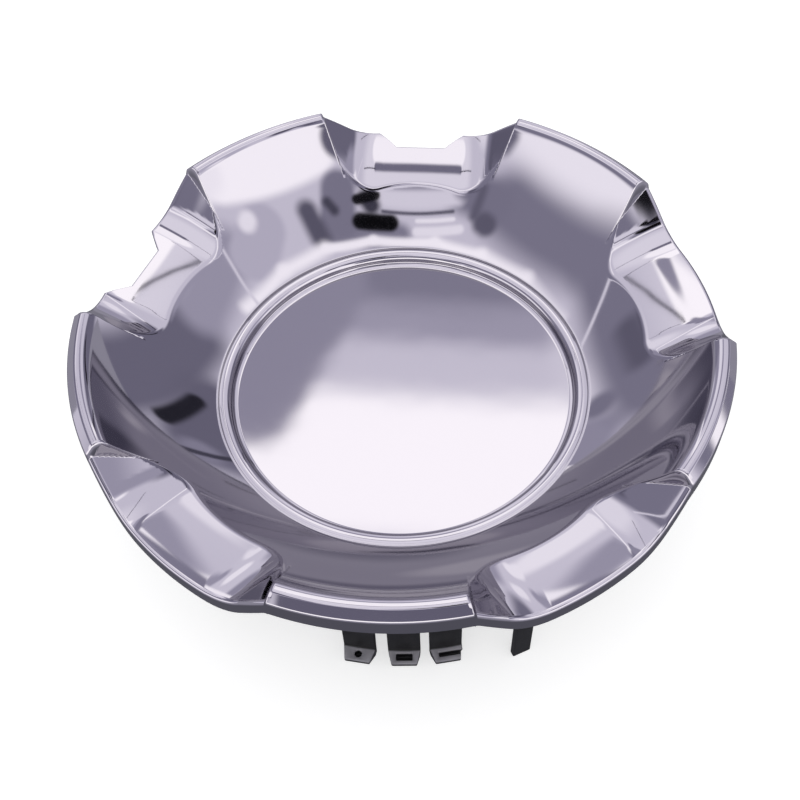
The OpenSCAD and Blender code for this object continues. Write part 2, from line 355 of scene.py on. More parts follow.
def soft_min(a, b, k):
    """The lower of two heights, rounded where they are less than k apart"""
    near = np.maximum(k - np.abs(a - b), 0) / k
    return np.minimum(a, b) - near * near * k / 4


def soft_max(a, b, k):
    return -soft_min(-a, -b, k)


# Heights over which the dish meets the bowl and the bead rises from both, in millimetres
DISH_SOFT, BEAD_SOFT = 0.25, 0.5
# The recess starts this far outside the dish's edge, in millimetres
RECESS_GAP = 2


class CoverForm:
    """Heights and edges of one fifth of the cover, with its recess along +X"""

    def __init__(self, sizes):
        for key, value in sizes.items():
            setattr(self, key, value)
        self.dish_z = self.rim_h - self.dish_depth
        self.crest_z = self.rim_h + self.crest_h - self.crest_round
        self.crest_x = self.face_r - self.band_w
        self.bowl_z = self.dish_z + math.sqrt(self.bowl_r ** 2 - self.dish_r ** 2)
        self.crest_out = self.crest_x + self.crest_round * math.sin(self.band_fall)
        self.floor_x = self.face_r + self.floor_r * math.sin(self.floor_rise)
        self.floor_z = self.rim_h - self.recess_depth - self.floor_r * math.cos(self.floor_rise)
        self.skirt_in = self.face_r - self.wall_t
        self.flare = (self.notch_mouth - self.notch_half_w) / self.notch_depth

    def band(self, r):
        """Height of the steep band outside the crest"""
        slope = math.tan(self.band_fall)
        return self.crest_z + self.crest_round / math.cos(self.band_fall) - (r - self.crest_x) * slope

    def lobe(self, r, g=0.0):
        """Height of the turned form at radius r, lowered by a wall g thick"""
        bowl = self.bowl_z - np.sqrt(np.maximum((self.bowl_r + g) ** 2 - r * r, 1.0))
        height = soft_max(bowl, np.full_like(r, self.dish_z - g), DISH_SOFT)
        if g == 0:
            under = self.bead_r ** 2 - (r - self.dish_r - self.bead_out) ** 2
            top = self.dish_z + self.bead_h - self.bead_r + np.sqrt(np.maximum(under, 0))
            height = soft_max(height, np.where(under > 0, top, 0.0), BEAD_SOFT)
        arc = np.sqrt(np.maximum(self.crest_round ** 2 - np.maximum(r - self.crest_x, 0) ** 2, 0))
        crest = np.where(r < self.crest_out, self.crest_z + arc, self.band(r))
        drop = np.where(r < self.crest_out, g, g / math.cos(self.band_fall))
        return soft_min(height, crest - drop, self.crest_soft)

    def recess_walls(self, x, y, g=0.0):
        """Heights of the recess's floor and sides and of the lobes' end faces, lowered by a wall g thick"""
        half_side = math.tan(self.recess_side / 2)
        half_w = self.recess_half_w + g * half_side
        fillet = self.recess_fillet + g
        reach = fillet * half_side
        across = np.abs(y)
        beyond = np.clip(across - half_w + reach, 0, fillet)
        curved = fillet - np.sqrt(np.maximum(fillet ** 2 - beyond ** 2, 0))
        end = half_w + reach * math.cos(self.recess_side)
        straight = reach * math.sin(self.recess_side) + (across - end) * math.tan(self.recess_side)
        rho = self.floor_r - g + np.where(across < end, curved, straight)
        height = self.floor_z + np.sqrt(np.maximum(rho ** 2 - (self.floor_x - x) ** 2, 1.0))
        beside = across * math.cos(self.end_angle) - x * math.sin(self.end_angle)
        end_face = self.rim_h + (beside * math.cos(self.end_draft) - g) / math.sin(self.end_draft)
        far = 3 * self.rim_h
        inner = x < self.dish_r + RECESS_GAP
        return np.where(inner, far, height), np.where(inner, far, end_face)

    def under(self, top, x, y, g=0.0):
        """Height of a surface after the recess is taken from it, with its ridges rounded"""
        sides, end_face = self.recess_walls(x, y, g)
        on_end = np.clip(end_face - sides + 0.5, 0, 1)
        soft = self.ridge_soft + (self.shoulder_soft - self.ridge_soft) * on_end
        return soft_min(top, soft_max(sides, end_face, self.end_soft), soft)

    def front(self, x, y):
        return self.under(self.lobe(np.hypot(x, y)), x, y)

    def back(self, x, y):
        return self.under(self.lobe(np.hypot(x, y), self.wall_t), x, y, self.wall_t)

    def skirt_foot(self, x, y):
        """Height of the skirt's lower edge, which follows the lobes and the recesses"""
        return self.under(np.full_like(x, self.rim_h), x, y) - self.skirt_h

    def edge(self, psi, notched):
        """Radius of the outer edge at angle psi, in radians"""
        plain = np.full_like(psi, self.face_r)
        if not notched:
            return plain
        lean = np.tan(np.abs(psi))
        inner = self.face_r - self.notch_depth
        slanted = (self.notch_half_w - inner * self.flare) / np.minimum(lean - self.flare, -0.01)
        x = np.where(lean * inner < self.notch_half_w, inner, slanted)
        return np.minimum(plain, x / np.cos(psi))

    def notch_corners(self):
        """Angles at which the notch bends, meets the skirt's wall and meets the outer edge"""
        psi = np.radians(np.linspace(1, 12, 2201))
        edge = self.edge(psi, True)
        inner = math.atan(self.notch_half_w / (self.face_r - self.notch_depth))
        return inner, psi[np.argmax(edge > self.skirt_in)], psi[np.argmax(edge >= self.face_r)]


def slope_normals(height, x, y, e=0.01):
    """Unit normals of the surface z = height(x, y)"""
    across = (height(x + e, y) - height(x - e, y)) / (2 * e)
    along = (height(x, y + e) - height(x, y - e)) / (2 * e)
    normals = np.stack([-across, -along, np.ones_like(x)], -1)
    return normals / np.linalg.norm(normals, axis=-1, keepdims=True)


def stretches(*parts):
    """Values along a line: each part is its start, its end and the step inside it"""
    values = []
    for start, end, step in parts:
        values.append(np.linspace(start, end, max(1, round((end - start) / step)), endpoint=False))
    return np.concatenate(values)


# Angles of the lines that run outwards, in degrees from the middle of a recess to the middle of a lobe
COLUMNS = ((0, 10, 1.25), (10, 19, 0.6), (19, 20.9, 0.1), (20.9, 23, 0.5), (23, PITCH / 2, 1.6))
# Radii of the face's inner rows in millimetres, and how far its outer rows are from there to the lip
INNER_ROWS = ((0, 50, 6), (50, 60.5, 0.38), (60.5, 71, 1.1), (71, 79, 0.38))
OUTER_ROWS = ((0, 0.5, 0.045), (0.5, 0.62, 0.026), (0.62, 0.94, 0.015), (0.94, 1, 0.02))
# Rows of the back, as shares of the skirt's inner radius
BACK_ROWS = np.concatenate([np.linspace(1, 0.6, 24), np.linspace(0.57, 0, 8)])
ARC_STEPS = 5
FOOT_R = 0.4
# The middle point of the foot's rounding stands this share of its radius off both sides
FOOT_BEVEL = 0.29
# Radius of the lip inside a notch
NOTCH_LIP_R = 0.5
# Least skirt wall beside a notch, and what the foot's width gains where none is left, in millimetres
SKIRT_LEAST, NOTCH_FOOT = 0.05, 0.1
# No line is nearer to a notch's corner than the first, save two at the second, in radians
CORNER_CLEAR, CORNER_SIDE = 0.004, 0.0006


def sector_columns(form, notched):
    """Angles of the lines that run outwards, in radians, closer together near the ridges"""
    half = np.radians(np.append(stretches(*COLUMNS), PITCH / 2))
    if notched:
        corners = form.notch_corners()
        half = half[np.min(np.abs(half[:, None] - np.array(corners)), axis=1) > CORNER_CLEAR]
        corners = np.concatenate([[c - CORNER_SIDE, c + CORNER_SIDE] for c in corners])
        half = np.sort(np.concatenate([half, corners]))
    return np.concatenate([-half[:0:-1], half])


def sector_mesh(form, notched):
    """One fifth of the cover's shell as a grid: face, lip, skirt and back, from the axis out and in again"""
    psi = sector_columns(form, notched)[:, None]
    cos, sin = np.cos(psi), np.sin(psi)
    edge = form.edge(psi, notched)
    at_edge = np.clip((edge - form.skirt_in) / form.wall_t, 0, 1)
    lip = NOTCH_LIP_R + (form.lip_r - NOTCH_LIP_R) * at_edge

    def rows(r, height):
        r = np.broadcast_to(r, (len(psi), np.shape(r)[-1]))
        return r, height(r * cos, r * sin)

    # The lip's circle touches the face's slope at the edge and the upright skirt.
    lip_x = edge - lip
    ahead = 0.01
    lip_top = form.front(lip_x * cos, lip_x * sin)
    slope = (form.front((lip_x + ahead) * cos, (lip_x + ahead) * sin) - lip_top) / ahead
    lip_z = lip_top - lip * np.sqrt(1 + slope ** 2)
    start = np.arctan2(1, -slope)
    turn = start * np.linspace(1, 0, ARC_STEPS + 1)
    arc_r, arc_z = lip_x + lip * np.cos(turn), lip_z + lip * np.sin(turn)

    inner = stretches(*INNER_ROWS)
    split = INNER_ROWS[-1][1]
    face_r = np.concatenate([np.broadcast_to(inner, (len(psi), len(inner))),
                             split + (arc_r[:, :1] - split) * stretches(*OUTER_ROWS)], axis=1)
    face_r, face_z = rows(face_r, form.front)

    skirted = (edge > form.skirt_in + SKIRT_LEAST).astype(float)
    foot_in = edge - 2 * FOOT_R
    wall_in = np.where(skirted > 0, np.minimum(form.skirt_in, foot_in), foot_in - NOTCH_FOOT)

    def foot(r):
        low = form.skirt_foot(r * cos, r * sin)
        back = form.back(r * cos, r * sin)
        return back + skirted * (low - back)

    bevel = FOOT_BEVEL * FOOT_R
    foot_r = np.concatenate([
        edge, edge - bevel, edge - FOOT_R, wall_in + FOOT_R, wall_in + bevel, wall_in], axis=1)
    foot_z = np.concatenate([
        foot(edge) + FOOT_R, foot(edge) + bevel, foot(edge - FOOT_R), foot(wall_in + FOOT_R),
        foot(wall_in) + bevel * skirted, foot(wall_in) + FOOT_R * skirted], axis=1)

    back_r, back_z = rows(wall_in * BACK_ROWS, form.back)

    radii = np.concatenate([face_r, arc_r, foot_r, back_r], axis=1)
    heights = np.concatenate([face_z, arc_z, foot_z, back_z], axis=1)
    points = np.stack([radii * cos, radii * sin, heights], -1)

    # Normals: exact on the face and the back, and turned from the face's to outwards around the lip.
    face_n = slope_normals(form.front, face_r * cos, face_r * sin)
    tangent = np.gradient(np.stack([edge * cos, edge * sin], -1)[:, 0], axis=0)
    outward = np.stack([tangent[:, 1], -tangent[:, 0], np.zeros(len(psi))], -1)
    outward = (outward / np.linalg.norm(outward, axis=-1, keepdims=True))[:, None]
    top = slope_normals(form.front, arc_r[:, :1] * cos, arc_r[:, :1] * sin)
    part = (1 - turn / start)[..., None] * math.pi / 2
    arc_n = top * np.cos(part) + outward * np.sin(part)
    down = np.array([0, 0, -1.0])
    foot_n = np.stack([np.broadcast_to(n, (len(psi), 1, 3))[:, 0] for n in (
        outward, outward + down, down, down, down - outward * skirted[..., None],
        down * (1 - skirted[..., None]) - outward * skirted[..., None])], axis=1)
    back_n = -slope_normals(form.back, back_r * cos, back_r * sin)
    normals = np.concatenate([face_n, arc_n, foot_n, back_n], axis=1)
    normals /= np.maximum(np.linalg.norm(normals, axis=-1, keepdims=True), 1e-9)
    inside = np.zeros(radii.shape)
    inside[:, face_r.shape[1] + arc_r.shape[1] + 3:] = 1
    return grid_mesh("cover_fifth_notched" if notched else "cover_fifth", points * MM, normals, inside, psi)


def grid_mesh(name, points, normals, inside, psi):
    """A mesh over a grid of points, with its normals kept in the turned frame of each line"""
    lines, rings = points.shape[:2]
    index = np.arange(lines * rings).reshape(lines, rings)
    quads = np.stack([index[:-1, :-1], index[:-1, 1:], index[1:, 1:], index[1:, :-1]], -1).reshape(-1, 4)
    mesh = bpy.data.meshes.new(name)
    mesh.from_pydata(points.reshape(-1, 3).tolist(), [], quads.tolist())
    cos, sin = np.cos(psi), np.sin(psi)
    turned = np.stack([normals[..., 0] * cos + normals[..., 1] * sin,
                       normals[..., 1] * cos - normals[..., 0] * sin, normals[..., 2]], -1)
    for key, kind, slot, values in (("turned_normal", "FLOAT_VECTOR", "vector", turned),
                                    ("inside", "FLOAT", "value", inside)):
        mesh.attributes.new(key, kind, "POINT").data.foreach_set(slot, values.reshape(-1).astype(np.float32))
    mesh.update()
    return mesh


# Small meshes that are repeated

def bevelled(obj, width):
    """Rounds every sharp edge of an object and returns its mesh"""
    modifier = obj.modifiers.new("edges", "BEVEL")
    modifier.width = width
    modifier.segments = 2
    modifier.limit_method = "ANGLE"
    modifier.angle_limit = math.radians(40)
    return settled(obj)


def settled(obj):
    """The object's mesh as its modifiers leave it; the object is taken away"""
    graph = bpy.context.evaluated_depsgraph_get()
    mesh = bpy.data.meshes.new_from_object(obj.evaluated_get(graph), depsgraph=graph)
    mesh.name = obj.name
    bpy.data.objects.remove(obj)
    return mesh


def linked(name, mesh):
    """A new object in the scene"""
    obj = bpy.data.objects.new(name, mesh)
    bpy.context.scene.collection.objects.link(obj)
    return obj


def finished(name, made):
    """A new object from a bmesh, whose faces are turned outwards"""
    bmesh.ops.recalc_face_normals(made, faces=made.faces)
    mesh = bpy.data.meshes.new(name)
    made.to_mesh(mesh)
    made.free()
    return linked(name, mesh)


def prism(name, outline, width):
    """A closed prism from an outline in the XZ plane, in millimetres, centred on Y"""
    made = bmesh.new()
    sides = [[made.verts.new((x * MM, y * MM, z * MM)) for x, z in outline] for y in (-width / 2, width / 2)]
    made.faces.new(sides[0])
    made.faces.new(reversed(sides[1]))
    count = len(outline)
    for i in range(count):
        j = (i + 1) % count
        made.faces.new((sides[0][j], sides[0][i], sides[1][i], sides[1][j]))
    return finished(name, made)


def lathe(name, outline, steps, closed=True):
    """A turned mesh from an outline of radii and heights in millimetres"""
    made = bmesh.new()
    rings = []
    for k in range(steps):
        t = 2 * math.pi * k / steps
        cos, sin = math.cos(t), math.sin(t)
        rings.append([made.verts.new((r * MM * cos, r * MM * sin, z * MM)) for r, z in outline])
    count = len(outline)
    for k in range(steps):
        here, there = rings[k], rings[(k + 1) % steps]
        for i in range(count if closed else count - 1):
            j = (i + 1) % count
            made.faces.new((here[i], there[i], there[j], here[j]))
    bmesh.ops.remove_doubles(made, verts=made.verts, dist=1e-7)
    return finished(name, made)


def rib_mesh(form, sizes):
    """Rib behind a lobe that lies along +X, between the bowl's wall and the skirt"""
    def mid_bowl(z):
        return math.sqrt((form.bowl_r + form.wall_t / 2) ** 2 - (form.bowl_z - z) ** 2)
    low = form.rim_h - form.skirt_h
    edge = form.face_r - form.wall_t / 2
    top = form.band(edge) - form.wall_t / 2
    outline = [(mid_bowl(low), low), (edge, low), (edge, top), (mid_bowl(top), top)]
    return bevelled(prism("lobe_rib", outline, sizes["rib_t"]), RIB_EDGE * MM)


# Edge radii of the ribs and of the bosses, in millimetres
RIB_EDGE, BOSS_EDGE = 0.25, 0.15
# The melted head's edge: its height, and how far and how deep it is rounded below, in millimetres
HEAD_EDGE, HEAD_ROUND, HEAD_DROP = 0.5, 0.8, 0.1


def boss_mesh(form, sizes, flange_top, flange_t):
    """Boss along +X with its pin and the melted head that holds the clip ring"""
    def mid_bowl(r):
        return form.bowl_z - math.sqrt((form.bowl_r + form.wall_t / 2) ** 2 - r ** 2)
    reach = sizes["boss_pcd_r"]
    up = mid_bowl(reach)
    boss, pin, head = sizes["boss_d"] / 2, sizes["pin_d"] / 2, sizes["head_d"] / 2
    under = flange_top - flange_t
    low = under - sizes["head_t"]
    outline = [(0, up), (boss, up), (boss, flange_top), (pin, flange_top), (pin, under), (head, under),
               (head, low + HEAD_EDGE), (head - HEAD_ROUND, low + HEAD_DROP), (0, low)]
    turned = lathe("fixing_boss", outline, steps=28, closed=False)
    turned.data.transform(Matrix.Translation((reach * MM, 0, 0)))
    for vertex in turned.data.vertices:
        if vertex.co.z > (up - 0.01) * MM:
            vertex.co.z = mid_bowl(vertex.co.xy.length / MM) * MM
    return bevelled(turned, BOSS_EDGE * MM)


def ring_mesh(sizes, seat_top):
    """Two flanges on an upright wall, turned"""
    shank_in = sizes["clip_r"] - sizes["shank_t"]
    seat_r = sizes["clip_r"] + sizes["seat_w"]
    low = sizes["inner_flange_top"] - sizes["flange_t"]
    seat_low = seat_top - sizes["flange_t"]
    outline = [
        (sizes["inner_flange_r"], low), (sizes["clip_r"], low), (sizes["clip_r"], seat_low),
        (seat_r, seat_low), (seat_r, seat_top), (shank_in, seat_top),
        (shank_in, sizes["inner_flange_top"]), (sizes["inner_flange_r"], sizes["inner_flange_top"])]
    return bevelled(lathe("ring_body", outline, steps=200), sizes["edge_r"] * MM)


# A clip's face lies this far inside the wall's curve, in millimetres
CLIP_INSET = 0.05


def clip_mesh(sizes, style):
    """Barbed clip along +X with a round hole, a pocket or a slot in its ledge"""
    shank_in = sizes["clip_r"] - sizes["shank_t"]
    face = math.sqrt(sizes["clip_r"] ** 2 - sizes["clip_w"] ** 2 / 4) - CLIP_INSET
    barb = face + sizes["barb_out"]
    ledge = sizes["ledge_h"]
    root = sizes["inner_flange_top"] - sizes["flange_t"] / 2
    root_in = shank_in - sizes["root_t"]
    outline = [
        (shank_in, 0), (face, 0), (barb, ledge - sizes["barb_face"]), (barb, ledge), (face, ledge),
        (face, root), (root_in, root), (root_in, root - sizes["flange_t"] / 2), (shank_in, ledge)]
    clip = prism("clip_" + style, outline, sizes["clip_w"])
    for vertex in clip.data.vertices:
        if vertex.co.x > (face + 0.1) * MM:
            vertex.co.y *= 1 - 2 * sizes["barb_taper"] / sizes["clip_w"]
    reach, low, high = sizes["barb_out"], ledge - sizes["core_depth"], ledge + 1
    middle = barb - reach / 2
    if style == "hole":
        half_core = [(0, low), (reach / 4, low), (reach / 4, high), (0, high)]
        core = lathe("core", half_core, steps=24, closed=False)
        core.data.transform(Matrix.Translation((middle * MM, 0, 0)))
    else:
        half = reach / 4 if style == "pocket" else reach / 6
        wide = sizes["core_w"] if style == "pocket" else sizes["clip_w"]
        near, far = middle - half, middle + half
        core = prism("core", [(near, low), (far, low), (far, high), (near, high)], wide)
        if style == "slot":
            core.data.transform(Matrix.Translation((0, (wide - sizes["core_w"]) / 2 * MM, 0)))
    cut = clip.modifiers.new("core", "BOOLEAN")
    cut.operation = "DIFFERENCE"
    cut.solver = "EXACT"
    cut.object = core
    mesh = bevelled(clip, sizes["edge_r"] * MM)
    bpy.data.objects.remove(core)
    return mesh


def guide_mesh(sizes, seat_top):
    """Plain guide leg along +X, under the outer flange"""
    outer = sizes["clip_r"] + sizes["seat_w"] - sizes["guide_inset"]
    inner = outer - sizes["guide_t"]
    root = seat_top - sizes["flange_t"] / 2
    return bevelled(prism("guide_leg", [(inner, 0), (outer, 0), (outer, root), (inner, root)],
                          sizes["guide_w"]), sizes["edge_r"] * MM)


# Geometry Nodes

def around_axis(name, parts, finish):
    """A plain mesh of parts that are repeated around the axis by Geometry Nodes.

    Each part is a mesh, its number of places, the angle of the first and the angle between two.
    """
    tree = bpy.data.node_groups.new(name + "_nodes", "GeometryNodeTree")
    tree.is_modifier = True
    tree.interface.new_socket("Geometry", in_out="OUTPUT", socket_type="NodeSocketGeometry")
    made, sources, inputs = [], [], []

    def add(kind, **values):
        node = tree.nodes.new(kind)
        for key, value in values.items():
            if isinstance(value, bpy.types.NodeSocket):
                tree.links.new(value, node.inputs[key])
            else:
                node.inputs[key].default_value = value
        return node

    def named(label, kind, value):
        item = tree.interface.new_socket(label, in_out="INPUT", socket_type=kind)
        inputs.append((item.identifier, value))
        return entry.outputs[label]

    entry = tree.nodes.new("NodeGroupInput")
    for mesh, count, first, between in parts:
        source = linked(mesh.name + "_source", mesh)
        sources.append(source)
        part = add("GeometryNodeObjectInfo", Object=named(mesh.name, "NodeSocketObject", source))
        places = add("GeometryNodeMeshLine", Count=named(mesh.name + " count", "NodeSocketInt", count),
                     Offset=(0, 0, 0))
        index = add("GeometryNodeInputIndex").outputs[0]
        turn = tree.nodes.new("ShaderNodeMath")
        turn.operation = "MULTIPLY_ADD"
        step = named(mesh.name + " step", "NodeSocketFloat", math.radians(between))
        start = named(mesh.name + " start", "NodeSocketFloat", math.radians(first))
        for slot, value in zip(turn.inputs, (index, step, start)):
            tree.links.new(value, slot)
        about_z = add("ShaderNodeCombineXYZ", Z=turn.outputs[0])
        spread = add("GeometryNodeInstanceOnPoints", Points=places.outputs[0],
                     Instance=part.outputs["Geometry"])
        tree.links.new(about_z.outputs[0], spread.inputs["Rotation"])
        made.append(spread.outputs[0])
    joined = tree.nodes.new("GeometryNodeJoinGeometry")
    for out in made:
        tree.links.new(out, joined.inputs[0])
    real = add("GeometryNodeRealizeInstances", Geometry=joined.outputs[0])
    welded = add("GeometryNodeMergeByDistance", Geometry=real.outputs[0], Distance=2e-6)
    painted = add("GeometryNodeSetMaterial", Geometry=welded.outputs[0], Material=finish)
    leave = tree.nodes.new("NodeGroupOutput")
    tree.links.new(painted.outputs[0], leave.inputs[0])

    holder = linked(name, bpy.data.meshes.new(name))
    modifier = holder.modifiers.new("around_axis", "NODES")
    modifier.node_group = tree
    for identifier, value in inputs:
        modifier[identifier] = value
    mesh = settled(holder)
    for source in sources:
        bpy.data.objects.remove(source)
    obj = linked(name, mesh)
    obj.data.materials.clear()
    obj.data.materials.append(finish)
    return obj


def shade_from_form(mesh):
    """Gives the shell's vertices the exact normals that they carry, and smooths the rest by angle"""
    count = len(mesh.vertices)
    at = np.zeros(count * 3)
    mesh.vertices.foreach_get("co", at)
    at = at.reshape(-1, 3)
    turned = np.zeros(count * 3, np.float32)
    mesh.attributes["turned_normal"].data.foreach_get("vector", turned)
    turned = turned.reshape(-1, 3).astype(float)
    radius = np.maximum(np.hypot(at[:, 0], at[:, 1]), 1e-9)
    cos, sin = at[:, 0] / radius, at[:, 1] / radius
    normals = np.stack([turned[:, 0] * cos - turned[:, 1] * sin,
                        turned[:, 1] * cos + turned[:, 0] * sin, turned[:, 2]], -1)
    size = np.linalg.norm(normals, axis=-1, keepdims=True)
    normals = np.where(size > 0.1, normals / np.maximum(size, 1e-9), 0)
    smooth_by_angle(mesh)
    mesh.normals_split_custom_set_from_vertices(normals.tolist())
    mesh.attributes.remove(mesh.attributes["turned_normal"])


def smooth_by_angle(mesh):
    mesh.shade_smooth()
    mesh.set_sharp_from_angle(angle=math.radians(35))


# Operators

class CAP_OT_cover(bpy.types.Operator):
    """Build the bright cover with its ribs and fixing bosses"""
    bl_idname = "cap.cover"
    bl_label = "Bright cover"

    def execute(self, context):
        scene = context.scene
        form = CoverForm(in_mm(scene.cap_cover))
        fixings, clips = in_mm(scene.cap_fixings), in_mm(scene.cap_clips)
        first = FIRST_LOBE + PITCH / 2
        plain = [k for k in range(LOBES) if k not in NOTCHED]
        parts = [(sector_mesh(form, True), len(NOTCHED), first + NOTCHED[0] * PITCH, PITCH),
                 (sector_mesh(form, False), len(plain), first + (NOTCHED[-1] + 1) * PITCH, PITCH)]
        for name, lean in RIBS.items():
            rib = rib_mesh(form, fixings)
            rib.name = "rib_" + name
            parts.append((rib, LOBES, FIRST_LOBE + lean, PITCH))
        boss = boss_mesh(form, fixings, clips["inner_flange_top"], clips["flange_t"])
        parts.append((boss, LOBES, FIRST_LOBE, PITCH))
        cover = around_axis("bright_cover", parts, bright_chrome(scene.cap_finish))
        shade_from_form(cover.data)
        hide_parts("face_cover")
        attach(cover, "root")
        return {"FINISHED"}


class CAP_OT_clip_ring(bpy.types.Operator):
    """Build the black ring with its barbed clips and guide legs"""
    bl_idname = "cap.clip_ring"
    bl_label = "Black clip ring"

    def execute(self, context):
        scene = context.scene
        sizes = in_mm(scene.cap_clips)
        seat_top = RING_BOX[1].z / MM
        parts = [(ring_mesh(sizes, seat_top), 1, 0, 0)]
        for style, lean in CLIPS.items():
            parts.append((clip_mesh(sizes, style), LOBES, FIRST_LOBE + lean, PITCH))
        parts.append((guide_mesh(sizes, seat_top), LOBES, FIRST_LOBE + GUIDE_LEAN, PITCH))
        black = black_moulding(scene.cap_finish, sizes["ledge_h"] * MM, sizes["clip_r"] * MM,
                               (sizes["clip_r"] + sizes["barb_out"]) * MM)
        ring = around_axis("black_clip_ring", parts, black)
        smooth_by_angle(ring.data)
        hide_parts("clip_ring")
        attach(ring, "root")
        return {"FINISHED"}


class CAP_OT_stage(bpy.types.Operator):
    """Set the camera, the pale floor and the studio around the cap"""
    bl_idname = "cap.stage"
    bl_label = "Stage"

    def execute(self, context):
        scene = context.scene
        set_camera(scene, scene.cap_stage, scene.cap_cover.rim_h)
        lay_floor(scene.cap_stage)
        light_studio(scene)
        scene.view_settings.view_transform = "Standard"
        return {"FINISHED"}


def set_camera(scene, stage, rim_h):
    """Camera at the photograph's angle, aimed past the middle of the rim"""
    e = stage.elevation
    back = Vector((0, -math.cos(e), math.sin(e)))
    right = Vector((1, 0, 0))
    up = back.cross(right)
    turn = Matrix.Rotation(stage.turn, 3, "Z")
    place = turn @ (back * stage.distance + right * stage.aim_x + up * stage.aim_y) + Vector((0, 0, rim_h))
    across = turn @ (right * math.cos(stage.roll) - up * math.sin(stage.roll))
    upward = turn @ (right * math.sin(stage.roll) + up * math.cos(stage.roll))
    data = bpy.data.cameras.new("camera")
    data.sensor_fit = "HORIZONTAL"
    data.sensor_width = 36
    data.lens = stage.lens
    data.clip_start = 0.01
    camera = bpy.data.objects.new("camera", data)
    scene.collection.objects.link(camera)
    camera.matrix_world = Matrix((across, upward, turn @ back)).transposed().to_4x4()
    camera.location = place
    scene.camera = camera


# The floor as the cap mirrors it, with painted shade: dark up to the first distance, in metres, and paler
# from the second
SHADE_END, OPEN_START = 0.13, 0.3
SHADE_LIGHT, OPEN_LIGHT = (0.12, 0.12, 0.14, 1), (0.4, 0.39, 0.44, 1)
# Light added for the camera, so that the floor shows white
FLOOR_GLOW = 0.6


def lay_floor(stage):
    """A pale floor, white with the cap's shadow to the camera and with painted shade near the cap in
    reflections
    """
    def build(s):
        at = s.node("ShaderNodeTexCoord")["Object"]
        # Painted shade: the floor's mirrored glow is darker near the cap
        tone = s.blend(s.step(s.vector("LENGTH", at), SHADE_END, OPEN_START), SHADE_LIGHT, OPEN_LIGHT)
        ray = s.node("ShaderNodeLightPath")
        glow = ray["Is Camera Ray"] * FLOOR_GLOW
        seen = s.node("ShaderNodeEmission", Color=(1, 1, 1, 1), Strength=glow)["Emission"]
        diffuse = s.node("ShaderNodeBsdfDiffuse", Color=opaque(stage.floor_colour))["BSDF"]
        pale = s.join("ShaderNodeAddShader", diffuse, seen)
        mirrored = s.node("ShaderNodeEmission", Color=tone, Strength=1.0)["Emission"]
        surface = s.join("ShaderNodeMixShader", ray["Is Glossy Ray"], pale, mirrored)
        s.node("ShaderNodeOutputMaterial", Surface=surface)
    half = stage.floor_w / 2
    mesh = bpy.data.meshes.new("floor")
    corners = [(-half, -half, 0), (half, -half, 0), (half, half, 0), (-half, half, 0)]
    mesh.from_pydata(corners, [], [(0, 1, 2, 3)])
    floor = linked("floor", mesh)
    floor.data.materials.append(material("pale_floor", build))


# Light that the room loses where the cap mirrors it twice or more
SECOND_MIRROR_LOSS = 0.5

